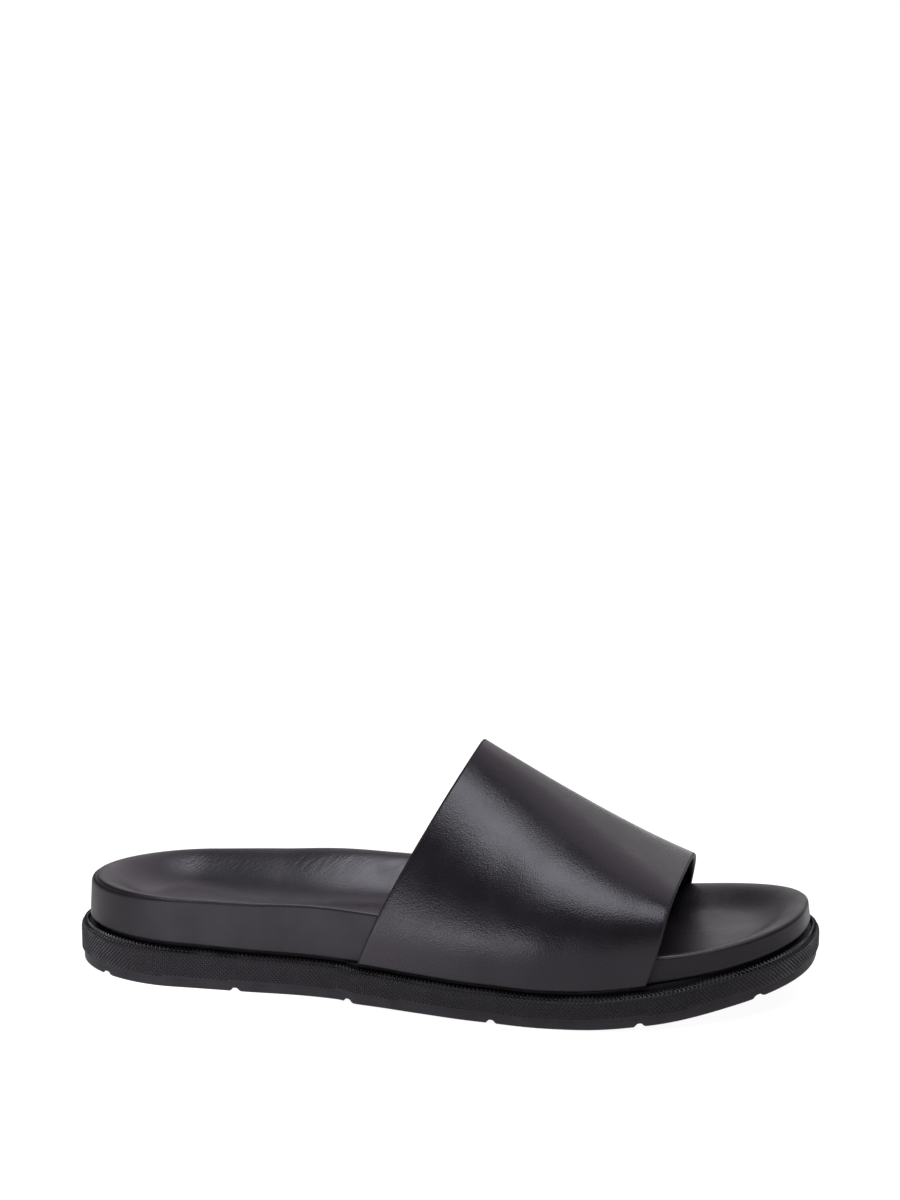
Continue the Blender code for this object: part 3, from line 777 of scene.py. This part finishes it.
def strap_ribs(share):
    """Inner face of the strap, on ribs at shares of the way from its rear to its front edge.

    A rib climbs straight from its foot to the springing and goes over the crown on a superellipse, rounder
    or squarer on each side. The crown lies off the middle by the ridge, and sags between the two edges by a
    parabola. With its level a rib leans forward, by a power, from its foot to its crown."""
    rear, front = (dict(zip(STRAP_COLUMNS, row)) for row in STRAP_EDGES)
    share = share[:, None]
    rib = {name: rear[name] + (front[name] - rear[name]) * share for name in STRAP_COLUMNS[1:]}
    for name in ("lateral_round", "medial_round"):
        rib[name] = rear[name] + (front[name] - rear[name]) * share ** SQUARING
    crown_height = rib["crown_height"] - STRAP_THICKNESS - STRAP_SAG * 4.0 * share * (1.0 - share)
    wall = np.linspace(0.0, 1.0, STRAP_WALL_STEPS, endpoint=False) ** 2
    turn = np.linspace(0.0, np.pi / 2.0, STRAP_ARCH_STEPS)
    halves = []
    for side, name in ((LATERAL, "lateral"), (MEDIAL, "medial")):
        foot_x = rib[name + "_foot"]
        roundness = rib[name + "_round"]
        spread = np.hstack([np.ones((len(share), len(wall))), np.abs(np.cos(turn)) ** roundness])
        rise = np.sin(turn) ** roundness
        foot = seat_height(foot_x) + GAP
        springing = foot + SPRINGING
        climb = foot + (springing - foot) * wall
        height = np.hstack([climb, springing + (crown_height - springing) * rise])
        level = (height - foot) / (crown_height - foot)
        x = foot_x + (rib["crown"] - foot_x) * level ** rib["lean"]
        faces = [last_points(x, sign, np.full(x.shape, -GAP), 0.0)[..., 1] for sign in (LATERAL, MEDIAL)]
        crown_y = (faces[0] + faces[1]) / 2.0 + rib["ridge"]
        edge = faces[0] if side < 0 else faces[1]
        y = crown_y + (edge - crown_y) * spread
        halves.append(np.stack([x, y, height], axis=-1))
    return np.concatenate([halves[0], halves[1][:, -2::-1]], axis=1)


def unit(vectors):
    """Vectors at length 1."""
    return vectors / np.linalg.norm(vectors, axis=-1, keepdims=True)


def strap_points():
    """Closed grid of the strap: rows run from its rear edge over the outer face to the front edge, and back
    on the inner face. Quarter circles round the edges, and the wall thins at both feet, where it is tucked
    in."""
    share = np.concatenate([[0.0], np.linspace(STRAP_MARGIN, 1.0 - STRAP_MARGIN, STRAP_ACROSS), [1.0]])
    ribs = strap_ribs(share)
    forward = unit(np.gradient(ribs, axis=0))
    outward = unit(np.cross(forward, np.gradient(ribs, axis=1)))
    lift = np.minimum(ribs[..., 2] - ribs[:, :1, 2], ribs[..., 2] - ribs[:, -1:, 2])
    tucked = np.clip(1.0 - lift / STRAP_TUCK, 0.0, 1.0)
    wall = outward * (STRAP_THICKNESS - STRAP_TUCK * (1.0 - np.sqrt(1.0 - tucked ** 2)))[..., None]
    turns = np.linspace(0.0, np.pi / 2.0, EDGE_STEPS)[:, None, None]
    edge_in = STRAP_EDGE * (1.0 - np.cos(turns))
    edge_out = 1.0 - (1.0 - np.sin(turns)) * STRAP_EDGE / STRAP_THICKNESS
    rear_outer, rear_inner = (ribs[0] + forward[0] * edge_in + wall[0] * out
                              for out in (edge_out, 1.0 - edge_out))
    front_outer, front_inner = (ribs[-1] - forward[-1] * edge_in + wall[-1] * out
                                for out in (edge_out, 1.0 - edge_out))
    inner = ribs[1:-1]
    outer = inner + wall[1:-1]
    way_out = [rear_outer, outer, front_outer[::-1]]
    way_back = [front_inner, inner[::-1], rear_inner[::-1]]
    return np.concatenate(way_out + way_back)


def strap_faces(rows, columns):
    """Cells around the strap, and the strips that close its two feet, where rows pair off across the wall.

    With them goes the finish of each: 0 leather, 1 inked edge, 2 lining."""
    half = rows // 2
    around = grid_faces(rows, columns, around=False, closed=True)
    row = np.arange(rows)
    inked = np.mod(row + EDGE_STEPS, half) < 2 * EDGE_STEPS - 1
    finishes = np.where(inked, 1, np.where(row < half, 0, 2))
    first = np.arange(half - 1)
    foot = np.stack([first, first + 1, rows - 2 - first, rows - 1 - first], axis=-1) * columns
    faces = np.concatenate([around, foot, foot + columns - 1])
    return faces, np.concatenate([np.repeat(finishes, columns - 1), np.ones(2 * len(foot), dtype=int)])


def inked_edge():
    """Cut edge of leather under edge ink: a matte skin over the fibres."""
    finish, tree, shader = finish_nodes("inked_edge", INK_SPECULAR)
    shader.inputs["Roughness"].default_value = INK_ROUGHNESS
    two_colours(tree, shader, INK_BLACK, LEATHER_BLACK, INK_BLOTCH)
    relief(tree, shader, noise_on_piece(tree, FIBRE), FIBRE_DEPTH)
    return finish


def strap_lining():
    """Soft black lining with a dull, close nap."""
    finish, tree, shader = finish_nodes("strap_lining", LINING_SPECULAR)
    shader.inputs["Roughness"].default_value = LINING_ROUGHNESS
    two_colours(tree, shader, LINING_BLACK, LEATHER_BLACK, LINING_BLOTCH)
    relief(tree, shader, noise_on_piece(tree, NAP), NAP_DEPTH)
    return finish


strap_grid = strap_points()
strap_cells, cell_finishes = strap_faces(*strap_grid.shape[:2])
strap_leather = smooth_leather("strap_leather", STRAP_GLOSS, STRAP_SPECULAR, STRAP_GRAIN)[0]
strap_materials = [strap_leather, inked_edge(), strap_lining()]
add_piece("strap_band", strap_grid, strap_cells, strap_materials, "strap", cell_finishes)

# Studio: a white sheet with a painted glow, brighter behind the sandal, and a painted pool of light in
# front on the left. A softbox hangs overhead in front and a dimmer panel behind, and a dim backdrop and a
# low card at the front left fill in, so that the black leather shows its form by its sheen.
FLOOR_SIZE = 20.0  # metres, as are all places and sizes of the studio
FLOOR_WHITE = (0.22, 0.22, 0.22, 1.0)
FLOOR_PATCH = (0.215, 0.215, 0.217, 1.0)
FLOOR_BLOTCH = 400.0  # millimetres, as in the other finishes
FLOOR_ROUGHNESS = 0.9
FLOOR_SPECULAR = 0.2
# painted glow: the floor's own light, strong behind the sandal and fainter in front
FLOOR_GLOW = (0.95, 0.40)
FLOOR_GLOW_PLACE = (0.0, 2.0, 0.0)
FLOOR_GLOW_REACH = (2.32, 2.75)
# painted pool of light on the floor, in front on the left; no lamp shines there
PAINTED_POOL_PLACE = (-0.11, -0.13, 0.0)
PAINTED_POOL_GLOW = 1.3
PAINTED_POOL_REACH = (0.03, 0.13)
WHITE_LIGHT = (1.0, 1.0, 1.0, 1.0)
SKY_STRENGTH = 0.06
SOFTBOX_SIZE = (2.0, 1.8)
SOFTBOX_PLACE = (0.20, -1.50, 3.0)
SOFTBOX_POWER = 97.0
SOFTBOX_TINT = (0.91, 1.0, 0.97)
CEILING_SIZE = (4.0, 3.4)
CEILING_PLACE = (0.6, 2.0, 3.0)
CEILING_POWER = 52.0
CEILING_TINT = (1.0, 0.95, 1.0)
CARD_SIZE = (0.6, 0.12)
CARD_PLACE = (-0.45, -0.80, 0.06)
CARD_POWER = 2.1
CARD_TINT = (0.92, 1.0, 0.98)
BACKDROP_SIZE = (3.6, 1.5)
BACKDROP_PLACE = (0.2, 2.4, 1.0)
BACKDROP_POWER = 13.0
BACKDROP_TINT = (1.0, 0.97, 1.0)
CAMERA_AZIMUTH = 11.0
CAMERA_ELEVATION = 18.0
CAMERA_DISTANCE = 1.6
CAMERA_TARGET = (0.0, 0.0, 0.035)
CAMERA_LENS = 123.2
CAMERA_SHIFT = (0.005, 0.2408)


def glow_from(tree, place, reach, glow):
    """Glow that goes softly from one strength to another with the way from a place on the floor."""
    centred = tree.nodes.new("ShaderNodeMapping")
    centred.vector_type = "TEXTURE"
    centred.inputs["Location"].default_value = place
    away = tree.nodes.new("ShaderNodeVectorMath")
    away.operation = "LENGTH"
    strength = tree.nodes.new("ShaderNodeMapRange")
    strength.interpolation_type = "SMOOTHSTEP"
    strength.inputs["From Min"].default_value, strength.inputs["From Max"].default_value = reach
    strength.inputs["To Min"].default_value, strength.inputs["To Max"].default_value = glow
    tree.links.new(tree.nodes.new("ShaderNodeTexCoord").outputs["Object"], centred.inputs["Vector"])
    tree.links.new(centred.outputs["Vector"], away.inputs[0])
    tree.links.new(away.outputs["Value"], strength.inputs["Value"])
    return strength.outputs["Result"]


def glowing_floor():
    """White sheet with a painted glow that grows to the far floor, and a painted pool of light in front."""
    finish, tree, shader = finish_nodes("glowing_floor", FLOOR_SPECULAR)
    shader.inputs["Roughness"].default_value = FLOOR_ROUGHNESS
    two_colours(tree, shader, FLOOR_WHITE, FLOOR_PATCH, FLOOR_BLOTCH)
    both = tree.nodes.new("ShaderNodeMath")
    tree.links.new(glow_from(tree, FLOOR_GLOW_PLACE, FLOOR_GLOW_REACH, FLOOR_GLOW), both.inputs[0])
    tree.links.new(glow_from(tree, PAINTED_POOL_PLACE, PAINTED_POOL_REACH, (PAINTED_POOL_GLOW, 0.0)), both.inputs[1])
    tree.links.new(both.outputs["Value"], shader.inputs["Emission Strength"])
    shader.inputs["Emission Color"].default_value = WHITE_LIGHT
    return finish


def add_floor():
    """Square sheet just under the tread."""
    half = FLOOR_SIZE / 2.0
    corners = np.array([(-half, -half), (half, -half), (half, half), (-half, half)])
    points = np.column_stack([corners, np.full(len(corners), -GAP * MM)])
    mesh = bpy.data.meshes.new("floor")
    mesh.from_pydata(points, [], [(0, 1, 2, 3)])
    mesh.materials.append(glowing_floor())
    floor = bpy.data.objects.new("floor", mesh)
    bpy.context.scene.collection.objects.link(floor)


def add_panel(name, size, place, power, tint):
    """Rectangular light panel that faces the sandal."""
    light = bpy.data.lights.new(name, "AREA")
    light.shape = "RECTANGLE"
    light.size, light.size_y = size
    light.energy = power
    light.color = tint
    panel = bpy.data.objects.new(name, light)
    panel.location = place
    panel.visible_camera = False
    panel.rotation_euler = (Vector(CAMERA_TARGET) - Vector(place)).to_track_quat("-Z", "Y").to_euler()
    bpy.context.scene.collection.objects.link(panel)


def add_camera():
    """Camera on the photograph's line of sight, aimed at the middle of the sandal."""
    azimuth = np.radians(CAMERA_AZIMUTH)
    elevation = np.radians(CAMERA_ELEVATION)
    level = np.cos(elevation)
    back = Vector((np.sin(azimuth) * level, -np.cos(azimuth) * level, np.sin(elevation)))
    lens = bpy.data.cameras.new("camera")
    lens.lens = CAMERA_LENS
    lens.shift_x, lens.shift_y = CAMERA_SHIFT
    camera = bpy.data.objects.new("camera", lens)
    camera.location = Vector(CAMERA_TARGET) + back * CAMERA_DISTANCE
    camera.rotation_euler = back.to_track_quat("Z", "Y").to_euler()
    bpy.context.scene.collection.objects.link(camera)
    bpy.context.scene.camera = camera


def add_sky():
    """Even, very dim light from all round."""
    sky = bpy.data.worlds.new("studio")
    sky.use_nodes = True
    background = sky.node_tree.nodes["Background"]
    background.inputs["Color"].default_value = WHITE_LIGHT
    background.inputs["Strength"].default_value = SKY_STRENGTH
    bpy.context.scene.world = sky


add_floor()
add_panel("softbox", SOFTBOX_SIZE, SOFTBOX_PLACE, SOFTBOX_POWER, SOFTBOX_TINT)
add_panel("ceiling", CEILING_SIZE, CEILING_PLACE, CEILING_POWER, CEILING_TINT)
add_panel("backdrop", BACKDROP_SIZE, BACKDROP_PLACE, BACKDROP_POWER, BACKDROP_TINT)
add_panel("card", CARD_SIZE, CARD_PLACE, CARD_POWER, CARD_TINT)
add_sky()
add_camera()
bpy.context.scene.view_settings.view_transform = "Standard"
